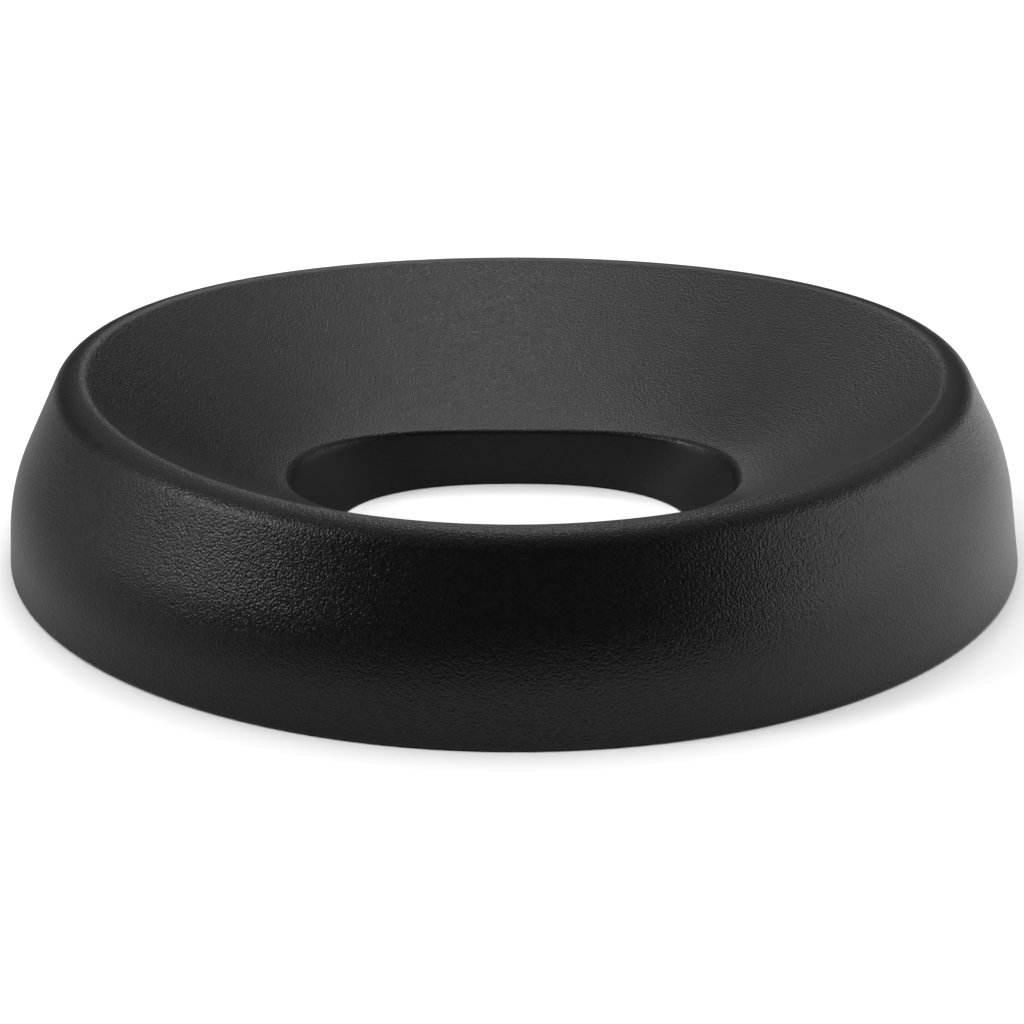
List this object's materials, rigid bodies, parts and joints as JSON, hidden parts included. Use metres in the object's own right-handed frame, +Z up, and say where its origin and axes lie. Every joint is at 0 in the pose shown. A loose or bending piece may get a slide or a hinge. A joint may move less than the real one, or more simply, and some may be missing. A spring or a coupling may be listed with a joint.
{
  "type": "toilet flange",
  "caption": "Round black moulded toilet flange with a rolled rim, a bowl that slopes to an oval neck, and a screwed base ring with floor and neck seals.",
  "frame": {"origin": "on the floor plane, at the centre of the base circle", "axes": "+Z up out of the floor, -Y to the front of the picture view, +X to the right"},
  "size_m": [0.178, 0.178, 0.0332],
  "materials": {
    "shell_plastic": "satin black with a fine leather grain",
    "ring_plastic": "matt dark grey moulding",
    "seal_rubber": "matt black rubber",
    "washer_rubber": "matt grey rubber",
    "screw_steel": "plain stainless steel",
    "insert_brass": "turned brass"
  },
  "bodies": {
    "root": {"flange_shell": "shell_plastic", "base_ring": "ring_plastic", "floor_gasket": "seal_rubber", "neck_seal": "seal_rubber", "base_screw_1": "screw_steel", "sealing_washer_1": "washer_rubber", "brass_insert_1": "insert_brass", "base_screw_2": "screw_steel", "sealing_washer_2": "washer_rubber", "brass_insert_2": "insert_brass", "base_screw_3": "screw_steel", "sealing_washer_3": "washer_rubber", "brass_insert_3": "insert_brass", "base_screw_4": "screw_steel", "sealing_washer_4": "washer_rubber", "brass_insert_4": "insert_brass", "base_screw_5": "screw_steel", "sealing_washer_5": "washer_rubber", "brass_insert_5": "insert_brass", "base_screw_6": "screw_steel", "sealing_washer_6": "washer_rubber", "brass_insert_6": "insert_brass"}
  },
  "joints": []
}
